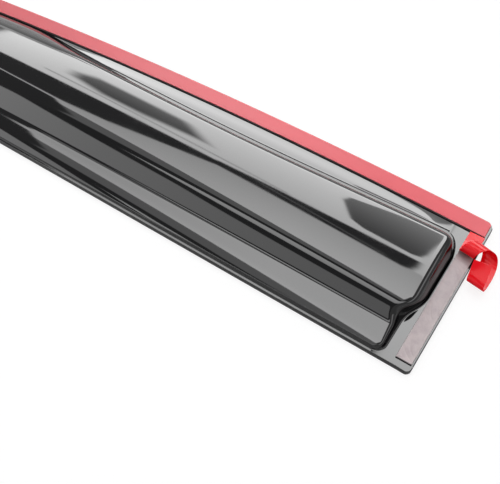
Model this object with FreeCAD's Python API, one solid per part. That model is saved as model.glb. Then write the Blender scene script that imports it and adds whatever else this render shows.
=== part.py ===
import FreeCAD, Part
import math
import os

from FreeCAD import Vector

# Side window rain deflector, the end with the square corner and its adhesive strips.
# One moulded acrylic shell, two foam tapes on its flange and their two release liners.
# While it is being built, X is 0 at the square end and negative towards the slim end,
# Y is 0 at the lower edge, and Z is 0 on the underside of the flange. All sizes in mm.

# Shell outline
LENGTH = 760.0
SQUARE_END_HEIGHT = 97.1
SLIM_END_HEIGHT = 24.6
ROOF_ARC_APEX = 116.5
SHEET = 3.0
LOWER_CORNER_RADIUS = 2.5
UPPER_CORNER_RADIUS = 3.0
TIP_UPPER_RADIUS = 9.0
TIP_LOWER_RADIUS = 5.0

# Raised body: where its walls meet the flange
SHOULDER_OFFSET = 16.0
SHOULDER_WAIST = 4.5
WAIST_MIDDLE = 135.0
WAIST_REACH = 125.0
SHOULDER_TAPE_GAP = 0.8
SPREAD_START = 245.0
SPREAD_FULL = 305.0
SPREAD_FADE = 480.0
SPREAD_END = 620.0
LIP_WIDTH = 1.5
UPPER_END_OFFSET = 9.9
LOWER_END_OFFSET = 14.9
NOSE_OFFSET = 20.0
HOLLOW_NOSE_OFFSET = 78.0
STEP_IN_START = 41.5
STEP_IN_END = 20.0
STEP_IN_START_LEAN = 0.95
STEP_IN_END_LEAN = 0.6
UPPER_CORNER_REACH = 18.0
UPPER_CORNER_RUN = 9.5
LOWER_CORNER_RUN = 5.5
CORNER_CLOSING_HEIGHT = 16.25

# Raised body: how steep its walls are, in degrees from the flange
SHOULDER_SLOPE = 46.0
LOWER_WALL_SLOPE = 76.0
UPPER_END_SLOPE = 78.0
LOWER_END_SLOPE = 60.0
NOSE_SLOPE = 14.0

# Raised body: heights above the flange and the two tiers
CROWN_HEIGHT = 13.0
STEP_TOP_HEIGHT = 9.3
LOWER_TIER_HEIGHT = 4.0
LOWER_TIER_WIDTH = 15.0
LOWER_TIER_FALL = 0.12
STEP_RUN = 6.7
STEP_SPREAD = 0.025
CROWN_RADIUS = 150.0
NARROWING_POWER = 0.8

# Rounding along the body, where it is at its full width
WALL_TOP_RADIUS = 3.0
STEP_FOOT_RADIUS = 3.5
STEP_TOP_RADIUS = 9.0
SHOULDER_RADIUS = 3.2

# Tapes and liners
TAPE_THICKNESS = 1.0
LINER_THICKNESS = 0.15
ROOF_TAPE_WIDTH = 10.0
ROOF_TAPE_EDGE_GAP = 0.2
ROOF_TAPE_END_GAP = 1.4
ROOF_TAPE_TIP_GAP = 14.0
ROOF_TAPE_CORNER_RADIUS = 2.4
END_TAPE_WIDTH = 7.9
END_TAPE_EDGE_GAP = 1.0
END_TAPE_FOOT_GAP = 4.1
TAPE_SPACING = 0.9
LINER_HELD_LENGTH = 4.8
LINER_FACET = 1.1

# Sections along the body, as shares of its length
SECTION_OVERRUN = 20.0
SECTION_SHARES = (0.05, 0.11, 0.17, 0.24, 0.31, 0.355, 0.4, 0.46, 0.61, 0.74, 0.84, 0.91, 0.955, 0.985)
END_CUT_MARGIN = 4.0
CUT_MARGIN = 1.0

# Path of the peeled end liner: left and right edge of the film at each station,
# measured from the corner where the square end and the tape's adhesive face meet
# the held part of the liner. X to the right, Y towards the roof, Z above the adhesive.
CURL_STATIONS = (
    ((-8.9, -1.5, 0.15), (-1.0, -1.5, 0.15)),
    ((-8.9, -3.4, 0.38), (-1.0, -3.6, 0.38)),
    ((-8.9, -6.8, 0.8), (-1.0, -7.6, 0.8)),
    ((-8.9, -9.7, 1.6), (-0.9, -10.8, 1.6)),
    ((-8.6, -10.8, 3.2), (-0.7, -11.8, 3.4)),
    ((-8.1, -9.9, 5.1), (-0.1, -11.1, 5.4)),
    ((-7.0, -7.4, 6.4), (1.2, -9.4, 6.9)),
    ((-5.0, -4.6, 6.4), (3.4, -6.8, 7.0)),
    ((-2.6, -2.6, 4.9), (5.9, -5.0, 5.4)),
    ((-0.2, -2.4, 2.6), (8.3, -4.6, 3.0)),
    ((1.6, -4.8, 0.0), (10.2, -6.6, 0.2)),
    ((2.5, -10.0, -1.6), (11.2, -11.6, -1.4)),
    ((2.4, -17.0, -1.9), (11.2, -18.6, -1.7)),
    ((1.9, -22.2, -1.1), (10.6, -23.8, -0.9)),
    ((1.2, -23.8, 1.4), (10.0, -25.0, 1.6)),
    ((0.5, -20.6, 4.6), (9.3, -20.6, 4.6)),
    ((-0.2, -15.8, 7.8), (8.5, -14.6, 7.8)),
)


def tangent(degrees):
    """Rise over run of a slope given in degrees."""
    return math.tan(math.radians(degrees))


def sine(degrees):
    """Sine of an angle given in degrees."""
    return math.sin(math.radians(degrees))


def roof_arc():
    """Y of the centre and the radius of the arc over both ends with its top at the apex."""
    slim_run = LENGTH - ROOF_ARC_APEX
    drop = SQUARE_END_HEIGHT - SLIM_END_HEIGHT
    squares = SQUARE_END_HEIGHT ** 2 - SLIM_END_HEIGHT ** 2 + ROOF_ARC_APEX ** 2 - slim_run ** 2
    centre_y = squares / (2.0 * drop)
    return centre_y, math.hypot(ROOF_ARC_APEX, SQUARE_END_HEIGHT - centre_y)


def roof_y(x, inset=0.0):
    """Height of the upper edge at x, moved inwards by inset."""
    centre_y, radius = roof_arc()
    return centre_y + math.sqrt((radius - inset) ** 2 - (x + ROOF_ARC_APEX) ** 2)


def arc_edge(start, middle, end):
    """Arc through three points."""
    return Part.Arc(start, middle, end).toShape()


def line_edge(start, end):
    """Straight edge between two points."""
    return Part.LineSegment(start, end).toShape()


def curve_edge(poles):
    """Bezier edge from its poles."""
    curve = Part.BezierCurve()
    curve.setPoles(poles)
    return curve.toShape()


def rounded_corner(start, corner, end):
    """Edge that turns a corner as a quarter of an ellipse."""
    pull = 0.5523
    return curve_edge([
        start,
        start + (corner - start) * pull,
        end + (corner - end) * pull,
        end,
    ])


def roof_edge(x_start, x_end, inset, z):
    """Piece of the upper arc between two stations."""
    x_middle = (x_start + x_end) / 2.0
    points = [Vector(x, roof_y(x, inset), z) for x in (x_start, x_middle, x_end)]
    return arc_edge(*points)


def upright_edge(plate, x, y):
    """Upright edge of a flat plate that stands nearest to a corner."""
    box = plate.BoundBox
    middle = Vector(x, y, (box.ZMin + box.ZMax) / 2.0)
    return min(plate.Edges, key=lambda edge: (edge.CenterOfMass - middle).Length)


def flange_plate():
    """Flat plate with the outline of the whole part."""
    lower_left = Vector(-LENGTH, 0, 0)
    lower_right = Vector(0, 0, 0)
    upper_right = Vector(0, roof_y(0), 0)
    upper_left = Vector(-LENGTH, roof_y(-LENGTH), 0)
    outline = Part.Wire([
        line_edge(lower_left, lower_right),
        line_edge(lower_right, upper_right),
        roof_edge(0, -LENGTH, 0, 0),
        line_edge(upper_left, lower_left),
    ])
    plate = Part.Face(outline).extrude(Vector(0, 0, SHEET))
    for corner, radius in (
        (lower_right, LOWER_CORNER_RADIUS),
        (upper_right, UPPER_CORNER_RADIUS),
        (upper_left, TIP_UPPER_RADIUS),
        (lower_left, TIP_LOWER_RADIUS),
    ):
        plate = plate.makeFillet(radius, [upright_edge(plate, corner.x, corner.y)])
    return plate


def end_outline(level, inset):
    """Outline that gives the body its two ends, at a height above the flange.

    At the square end it follows the upper corner, the upper end, the S-curve that steps
    in to the lower tier, the lower end and the lower corner. At the slim end it is a round
    nose. Its long sides lie outside the body. An inset moves the ends inwards by that
    thickness, square to their walls.
    """
    def move(slope):
        return level / tangent(slope) + inset / sine(slope)

    z = SHEET + level
    roof_inset = SHOULDER_OFFSET + move(SHOULDER_SLOPE) - END_CUT_MARGIN
    lip_y = LIP_WIDTH + move(LOWER_WALL_SLOPE) - END_CUT_MARGIN
    upper_x = -UPPER_END_OFFSET - move(UPPER_END_SLOPE)
    lower_x = -LOWER_END_OFFSET - move(LOWER_END_SLOPE)
    nose_offset = HOLLOW_NOSE_OFFSET if inset > 0.0 else NOSE_OFFSET
    nose_x = -LENGTH + nose_offset + move(NOSE_SLOPE)

    corner_scale = 1.0 - level / CORNER_CLOSING_HEIGHT
    upper_run = UPPER_CORNER_RUN * corner_scale + END_CUT_MARGIN / 2.0
    lower_run = LOWER_CORNER_RUN * corner_scale
    corner_y = roof_y(upper_x, SHOULDER_OFFSET) - UPPER_CORNER_REACH
    step_start = STEP_IN_START - STEP_IN_START_LEAN * level
    step_end = STEP_IN_END - STEP_IN_END_LEAN * level
    step_middle = (step_start + step_end) / 2.0

    nose_top = roof_y(nose_x, roof_inset)
    nose_middle = (nose_top + lip_y) / 2.0
    nose_side_x = nose_x + (nose_top - lip_y) / 2.0
    nose_upper = Vector(nose_side_x, roof_y(nose_side_x, roof_inset), z)
    nose_lower = Vector(nose_side_x, lip_y, z)

    roof_start_x = upper_x - upper_run
    roof_start = Vector(roof_start_x, roof_y(roof_start_x, roof_inset), z)
    lower_start = Vector(lower_x - lower_run, lip_y, z)
    lower_end = Vector(lower_x, lip_y + END_CUT_MARGIN + lower_run, z)
    step_low = Vector(lower_x, step_end, z)
    step_high = Vector(upper_x, step_start, z)
    corner_low = Vector(upper_x, corner_y, z)

    return Part.Wire([
        roof_edge(roof_start_x, nose_side_x, roof_inset, z),
        arc_edge(nose_upper, Vector(nose_x, nose_middle, z), nose_lower),
        line_edge(nose_lower, lower_start),
        rounded_corner(lower_start, Vector(lower_x, lip_y, z), lower_end),
        line_edge(lower_end, step_low),
        curve_edge([step_low, Vector(lower_x, step_middle, z), Vector(upper_x, step_middle, z), step_high]),
        line_edge(step_high, corner_low),
        rounded_corner(corner_low, Vector(upper_x, roof_y(upper_x, roof_inset), z), roof_start),
    ])


def end_block(inset, floor):
    """Solid whose sloping sides are the two ends of the raised body."""
    ceiling = CROWN_HEIGHT + CUT_MARGIN
    return Part.makeLoft([end_outline(floor, inset), end_outline(ceiling, inset)], True, True)


def slimness(x):
    """Share of the full body width that is left at x, and the scale of its heights."""
    full = roof_y(-ROOF_ARC_APEX, SHOULDER_OFFSET) - LIP_WIDTH
    share = (roof_y(x, SHOULDER_OFFSET) - LIP_WIDTH) / full
    return share, share ** NARROWING_POWER


def eased(start, end, at):
    """Smooth rise from 0 at the start to 1 at the end."""
    share = min(max((at - start) / (end - start), 0.0), 1.0)
    return share ** 2 * (3.0 - 2.0 * share)


def shoulder_spread(x):
    """How far the shoulder spreads over the flange along the middle of the part."""
    full = SHOULDER_OFFSET - ROOF_TAPE_EDGE_GAP - ROOF_TAPE_WIDTH - SHOULDER_TAPE_GAP
    return full * eased(SPREAD_START, SPREAD_FULL, -x) * eased(SPREAD_END, SPREAD_FADE, -x)


def shoulder_rise(x):
    """Rise over run of the shoulder at x, flatter where it spreads."""
    run = CROWN_HEIGHT / tangent(SHOULDER_SLOPE) + shoulder_spread(x)
    return -CROWN_HEIGHT / run


def shoulder_foot(x, inset=0.0):
    """Y where the shoulder meets the flange at x, drawn in at the body's waist."""
    part = min(abs(x + WAIST_MIDDLE) / WAIST_REACH, 1.0)
    waist = SHOULDER_WAIST * (1.0 - part ** 2) ** 1.5
    rise = shoulder_rise(x)
    drawn_in = inset * math.hypot(1.0, rise) / abs(rise)
    return roof_y(x, SHOULDER_OFFSET + waist - shoulder_spread(x) + drawn_in)


def lower_wall_foot(inset=0.0):
    """Y where the lower wall meets the flange."""
    return LIP_WIDTH + inset / sine(LOWER_WALL_SLOPE)


def tier_shape(x):
    """Step foot and step top in the section at x, and the centre and radius of the crown's arc."""
    share, scale = slimness(x)
    foot = Vector(x, LIP_WIDTH + LOWER_TIER_WIDTH * share, SHEET + LOWER_TIER_HEIGHT * scale)
    step_run = (STEP_RUN + STEP_SPREAD * max(-x, 0.0)) * share
    top = Vector(x, foot.y + step_run, SHEET + STEP_TOP_HEIGHT * scale)
    radius = CROWN_RADIUS / scale
    centre_z = SHEET + CROWN_HEIGHT * scale - radius
    centre_y = top.y + math.sqrt(radius ** 2 - (top.z - centre_z) ** 2)
    return foot, top, Vector(x, centre_y, centre_z), radius


def upward(rise):
    """Unit vector that stands square on a line of a section."""
    return Vector(0, -rise, 1).normalize()


def lines_cross(point, rise, other, other_rise):
    """Where two straight lines of a section meet, each through a point with its rise."""
    across = (other.z - point.z - other_rise * (other.y - point.y)) / (rise - other_rise)
    return point + Vector(0, across, rise * across)


def arc_cross(centre, radius, point, rise, side):
    """Where a straight line of a section meets an arc, on its lower or its upper side in Y."""
    lift = point.z - centre.z - rise * (point.y - centre.y)
    reach = math.sqrt(radius ** 2 * (1.0 + rise ** 2) - lift ** 2)
    across = (side * reach - rise * lift) / (1.0 + rise ** 2)
    return centre + Vector(0, across, lift + rise * across)


def lines_corner(point, rise, other, other_rise, radius):
    """Rounded corner between two lines, as the three points of its arc."""
    up = upward(rise)
    other_up = upward(other_rise)
    middle = lines_cross(point - up * radius, rise, other - other_up * radius, other_rise)
    between = (up + other_up).normalize()
    return [middle + up * radius, middle + between * radius, middle + other_up * radius]


def crown_corner(centre, crown_radius, point, rise, side, radius):
    """Rounded corner between a line and the crown, as the three points of its arc."""
    up = upward(rise)
    middle = arc_cross(centre, crown_radius - radius, point - up * radius, rise, side)
    outward = (middle - centre).normalize()
    between = (up + outward).normalize()
    return [middle + up * radius, middle + between * radius, middle + outward * radius]


def body_section(x, inset, floor):
    """Closed section of the raised body at x, or of its hollow when there is an inset.

    It has a lower wall, a nearly level tier, a step, a crown and a shoulder, and a flat
    floor. The body's corners are rounded and the hollow's are sharp.
    """
    _, scale = slimness(x)
    foot, top, centre, radius = tier_shape(x)
    step_rise = (top.z - foot.z) / (top.y - foot.y)
    wall_rise = tangent(LOWER_WALL_SLOPE)
    fall = shoulder_rise(x)
    wall_foot = Vector(x, lower_wall_foot(inset), SHEET)
    shoulder = Vector(x, shoulder_foot(x, inset), SHEET)
    tier = foot - upward(LOWER_TIER_FALL) * inset
    step = foot - upward(step_rise) * inset
    crown = radius - inset
    rounding = 0.0 if inset > 0.0 else scale

    wall_top = lines_corner(wall_foot, wall_rise, tier, LOWER_TIER_FALL, WALL_TOP_RADIUS * rounding)
    step_foot = lines_corner(tier, LOWER_TIER_FALL, step, step_rise, -STEP_FOOT_RADIUS * rounding)
    step_top = crown_corner(centre, crown, step, step_rise, 1, STEP_TOP_RADIUS * rounding)
    deck_end = crown_corner(centre, crown, shoulder, fall, -1, SHOULDER_RADIUS * rounding)
    deck_end.reverse()
    deck_way = (step_top[2] + deck_end[0]) / 2.0 - centre
    deck_middle = centre + deck_way.normalize() * crown
    wall_start = wall_foot + Vector(0, floor / wall_rise, floor)
    shoulder_end = shoulder + Vector(0, floor / fall, floor)

    runs = [
        line_edge(wall_start, wall_top[0]),
        line_edge(wall_top[2], step_foot[0]),
        line_edge(step_foot[2], step_top[0]),
        arc_edge(step_top[2], deck_middle, deck_end[0]),
        line_edge(deck_end[2], shoulder_end),
    ]
    corners = [arc_edge(*corner) for corner in (wall_top, step_foot, step_top, deck_end) if rounding > 0.0]
    edges = Part.sortEdges(runs + corners)[0]
    return Part.Wire(edges + [line_edge(shoulder_end, wall_start)])


def body_block(inset, floor):
    """Raised two-tier body with both of its ends, or its hollow when there is an inset."""
    end_share = 1.02 - HOLLOW_NOSE_OFFSET / LENGTH if inset > 0.0 else 1.0
    stations = [SECTION_OVERRUN] + [-LENGTH * share for share in SECTION_SHARES if share < end_share]
    block = Part.makeLoft([body_section(x, inset, floor) for x in stations], True, False)
    return block.common(end_block(inset, floor - CUT_MARGIN)).Solids[0]


def deflector_shell():
    """The moulded shell: flange, raised two-tier body and the hollow behind it."""
    shell = flange_plate().fuse(body_block(0.0, -SHEET / 2.0)).removeSplitter()
    return shell.cut(body_block(SHEET, -SHEET - CUT_MARGIN)).Solids[0]


def roof_strip(bottom, thickness):
    """Strip along the upper edge of the flange, from its underside up."""
    inner = ROOF_TAPE_EDGE_GAP + ROOF_TAPE_WIDTH
    right = -ROOF_TAPE_END_GAP
    left = -LENGTH + ROOF_TAPE_TIP_GAP
    upper_right = Vector(right, roof_y(right, ROOF_TAPE_EDGE_GAP), bottom)
    lower_right = Vector(right, roof_y(right, inner), bottom)
    upper_left = Vector(left, roof_y(left, ROOF_TAPE_EDGE_GAP), bottom)
    lower_left = Vector(left, roof_y(left, inner), bottom)
    outline = Part.Wire([
        roof_edge(right, left, ROOF_TAPE_EDGE_GAP, bottom),
        line_edge(upper_left, lower_left),
        roof_edge(left, right, inner, bottom),
        line_edge(lower_right, upper_right),
    ])
    strip = Part.Face(outline).extrude(Vector(0, 0, thickness))
    corner = upright_edge(strip, upper_right.x, upper_right.y)
    return strip.makeFillet(ROOF_TAPE_CORNER_RADIUS, [corner])


def end_strip_top():
    """Y where the end tape stops, a little below the roof tape."""
    x = -END_TAPE_EDGE_GAP - END_TAPE_WIDTH
    return roof_y(x, ROOF_TAPE_EDGE_GAP + ROOF_TAPE_WIDTH) - TAPE_SPACING


def end_strip(y_start, y_end, bottom, thickness):
    """Straight strip along the square end, between two heights."""
    corner = Vector(-END_TAPE_EDGE_GAP - END_TAPE_WIDTH, y_start, bottom)
    return Part.makeBox(END_TAPE_WIDTH, y_end - y_start, thickness, corner)


def smooth_rail(points, lengths):
    """Smooth curve through points, with the given lengths as its parameters."""
    curve = Part.BSplineCurve()
    curve.interpolate(Points=points, Parameters=lengths)
    return curve


def lengths_along(points):
    """Length of the path through the points, at each of them."""
    lengths = [0.0]
    for before, after in zip(points, points[1:]):
        lengths.append(lengths[-1] + (after - before).Length)
    return lengths


def peeled_film(held_y, adhesive):
    """The part of the end liner that has been pulled off and curls over the end."""
    lift = Vector(0, held_y, adhesive)
    half_up = Vector(0, 0, LINER_THICKNESS / 2.0)
    lefts = [Vector(-END_TAPE_EDGE_GAP - END_TAPE_WIDTH, 0, 0) + half_up]
    rights = [Vector(-END_TAPE_EDGE_GAP, 0, 0) + half_up]
    lefts += [Vector(*left) for left, _ in CURL_STATIONS]
    rights += [Vector(*right) for _, right in CURL_STATIONS]
    middles = [(left + right) / 2.0 for left, right in zip(lefts, rights)]

    lengths = lengths_along(middles)
    left_rail = smooth_rail(lefts, lengths)
    right_rail = smooth_rail(rights, lengths)

    count = round(lengths[-1] / LINER_FACET)
    sections = []
    for i in range(count + 1):
        at = lengths[-1] * i / count
        left = left_rail.value(at)
        right = right_rail.value(at)
        heading = Vector(0, -1, 0)
        if i > 0:
            heading = left_rail.tangent(at)[0] + right_rail.tangent(at)[0]
        outward = heading.cross(right - left)
        outward.normalize()
        half = outward * (LINER_THICKNESS / 2.0)
        corners = [left + half, right + half, right - half, left - half]
        sections.append(Part.makePolygon([corner + lift for corner in corners + corners[:1]]))
    return Part.makeLoft(sections, True, True)


def end_liner():
    """Release liner of the end tape: a held part and the peeled curl."""
    adhesive = SHEET + TAPE_THICKNESS
    top = end_strip_top()
    held_y = top - LINER_HELD_LENGTH
    held = end_strip(held_y, top, adhesive, LINER_THICKNESS)
    film = peeled_film(held_y, adhesive)
    liner = held.fuse(film).removeSplitter()
    return liner.Solids[0]


def build_pieces():
    """All pieces of the part by name, in the frame they are drawn in."""
    adhesive = SHEET + TAPE_THICKNESS
    return {
        "deflector_shell": deflector_shell(),
        "roof_foam_tape": roof_strip(SHEET, TAPE_THICKNESS),
        "roof_release_liner": roof_strip(adhesive, LINER_THICKNESS),
        "end_foam_tape": end_strip(END_TAPE_FOOT_GAP, end_strip_top(), SHEET, TAPE_THICKNESS),
        "end_release_liner": end_liner(),
    }


def main():
    """Build the pieces, put their common box over the origin and write them."""
    os.makedirs("parts", exist_ok=True)
    pieces = build_pieces()
    box = Part.makeCompound(list(pieces.values())).optimalBoundingBox(False, False)
    to_origin = Vector(-box.Center.x, -box.Center.y, -box.ZMin)
    for name, shape in pieces.items():
        shape.translate(to_origin)
        shape.exportStep("parts/" + name + ".step")


if __name__ == "__main__":
    main()
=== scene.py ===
"""A side window rain deflector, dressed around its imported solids.

The moulded shell, the adhesive strips and the peeled liner are surfaces worked out with
numpy from the same lengths that shape the solids. Lengths are in millimetres in the
drawing frame of the part: X is 0 at the square end and negative towards the slim end,
Y is 0 at the lower edge and Z is 0 on the underside of the flange.
"""
import logging
import math
from dataclasses import dataclass
from enum import Enum
from typing import Any, Optional, Sequence

import bpy
import numpy as np
from bpy.types import Material, Node, NodeSocket, NodeTree, Object
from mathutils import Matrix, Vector


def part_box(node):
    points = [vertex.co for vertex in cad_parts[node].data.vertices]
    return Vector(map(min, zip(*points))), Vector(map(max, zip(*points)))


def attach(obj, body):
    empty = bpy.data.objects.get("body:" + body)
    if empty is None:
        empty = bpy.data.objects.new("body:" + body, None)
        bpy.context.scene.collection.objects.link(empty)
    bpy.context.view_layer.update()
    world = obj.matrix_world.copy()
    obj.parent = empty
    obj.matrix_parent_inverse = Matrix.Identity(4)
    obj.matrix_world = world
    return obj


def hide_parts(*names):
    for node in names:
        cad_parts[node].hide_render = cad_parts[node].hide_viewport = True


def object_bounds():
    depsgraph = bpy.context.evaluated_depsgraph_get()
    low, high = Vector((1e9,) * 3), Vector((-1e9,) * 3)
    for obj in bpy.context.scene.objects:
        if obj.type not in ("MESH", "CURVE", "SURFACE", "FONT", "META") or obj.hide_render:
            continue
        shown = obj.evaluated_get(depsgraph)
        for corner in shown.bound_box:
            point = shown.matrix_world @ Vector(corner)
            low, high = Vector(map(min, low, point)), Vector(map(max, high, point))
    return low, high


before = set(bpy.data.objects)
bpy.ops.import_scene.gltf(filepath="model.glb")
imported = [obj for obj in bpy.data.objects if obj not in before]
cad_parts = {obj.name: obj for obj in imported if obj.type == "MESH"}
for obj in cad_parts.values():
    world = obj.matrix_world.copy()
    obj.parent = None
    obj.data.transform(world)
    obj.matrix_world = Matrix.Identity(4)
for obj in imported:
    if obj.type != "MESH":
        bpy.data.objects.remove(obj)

logging.basicConfig(level=logging.INFO, format="%(name)s: %(message)s")
LOG = logging.getLogger("deflector")

CAD_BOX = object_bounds()
Array = np.ndarray
Pair = tuple[float, float]
Point = tuple[float, float, float]
WHITE = (1.0, 1.0, 1.0, 1.0)


class Piece(Enum):
    """Pieces made here: a name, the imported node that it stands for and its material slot."""

    SHELL = ("moulded_shell", "deflector_shell", "smoked_acrylic")
    ROOF_LINER = ("roof_liner_film", "roof_release_liner", "roof_liner_film")
    END_ADHESIVE = ("end_adhesive_strip", "end_foam_tape", "adhesive_foam")
    END_LINER = ("peeled_liner_film", "end_release_liner", "end_liner_film")


def linear(hex_colour: str) -> tuple[float, float, float, float]:
    """Turn an sRGB hex colour, such as #ececec, into a linear colour with an alpha of one."""
    parts = [int(hex_colour[i:i + 2], 16) / 255.0 for i in (1, 3, 5)]
    values = [p / 12.92 if p <= 0.04045 else ((p + 0.055) / 1.055) ** 2.4 for p in parts]
    return values[0], values[1], values[2], 1.0


def feed(tree: NodeTree, node: Node, inputs: dict[Any, Any]) -> None:
    """Give inputs, by name or number, a value or the output socket that feeds them."""
    for name, value in inputs.items():
        if isinstance(value, NodeSocket):
            tree.links.new(value, node.inputs[name])
        else:
            node.inputs[name].default_value = value


def add_node(tree: NodeTree, kind: str, inputs: Optional[dict[Any, Any]] = None, **settings: Any) -> Node:
    """Add a shader node.

    Args:
        tree: The node tree that takes the node.
        kind: The node's type, without the words that all shader nodes start with.
        inputs: Values and sockets for its inputs.
        settings: Values for its attributes.

    Returns:
        The new node.
    """
    made = tree.nodes.new("ShaderNode" + kind)
    for name, value in settings.items():
        setattr(made, name, value)
    feed(tree, made, inputs or {})
    return made


def wall_shift(slope: float, level: Any, inset: float = 0.0) -> Any:
    """How far a wall lies inwards from its foot at a level, its face moved by the inset.

    Level / tan(slope) + inset / sin(slope), with the slope in degrees.
    """
    angle = math.radians(slope)
    return level / math.tan(angle) + inset / math.sin(angle)


def softer(a: Array, b: Array, blend: float) -> Array:
    """Lower of two heights, rounded where they cross.

    The lower height less a quarter of the blend times the square of how far the two
    overlap: overlap = max(blend - |a - b|, 0) / blend.
    """
    overlap = np.maximum(blend - np.abs(a - b), 0.0) / blend
    return np.minimum(a, b) - overlap ** 2 * blend / 4.0


def higher(a: Array, b: Array, blend: float) -> Array:
    """Higher of two heights, rounded where they cross."""
    return -softer(-np.asarray(a), -np.asarray(b), blend)


def smooth(value: Array, start: float = 0.0, end: float = 1.0) -> Array:
    """Ease from 0 to 1 as a value runs from start to end: 3t^2 - 2t^3 of its share, t."""
    t = np.clip((value - start) / (end - start), 0.0, 1.0)
    return t * t * (3.0 - 2.0 * t)


def between(first: Any, second: Any, share: Any) -> Any:
    """The first value at a share of 0, the second at 1 and a straight run between."""
    return first + (second - first) * share


def nearness(gap: Array, reach: float) -> Array:
    """One at an edge, falling evenly to 0 at one reach from it."""
    return np.clip(1.0 - gap / reach, 0.0, 1.0)


def quarter_round(used: Array) -> Array:
    """How far a quarter circle of radius one turns in: 1 - sqrt(1 - used^2)."""
    return 1.0 - np.sqrt(1.0 - used ** 2)


def corner_pull(gap: Array, side: Array, radius: float) -> Array:
    """How far a rounded corner draws a side in, fading away from that side.

    The gap is the distance from the corner's other edge.
    """
    return radius * quarter_round(nearness(gap, radius)) * nearness(side, 2.5 * radius)


def stretches(*parts: tuple[float, int]) -> Array:
    """Stations along a line from 0, evenly spaced within each stretch.

    Args:
        parts: End and number of steps of each stretch, in order.

    Returns:
        All stations, with the last end included.
    """
    start = 0.0
    rows = []
    for end, count in parts:
        rows.append(np.linspace(start, end, count, endpoint=False))
        start = end
    return np.concatenate(rows + [[start]])


@dataclass(frozen=True)
class DrawingFrame:
    """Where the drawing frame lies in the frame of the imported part."""

    origin: Point

    @classmethod
    def from_shell(cls) -> "DrawingFrame":
        """Read the place of the square end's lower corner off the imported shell."""
        low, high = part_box(Piece.SHELL.value[1])
        return cls((high[0], low[1], low[2]))

    def metres(self, points: Array) -> Array:
        """Turn millimetres of the drawing into metres of the part."""
        return points * 0.001 + np.array(self.origin)


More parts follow.
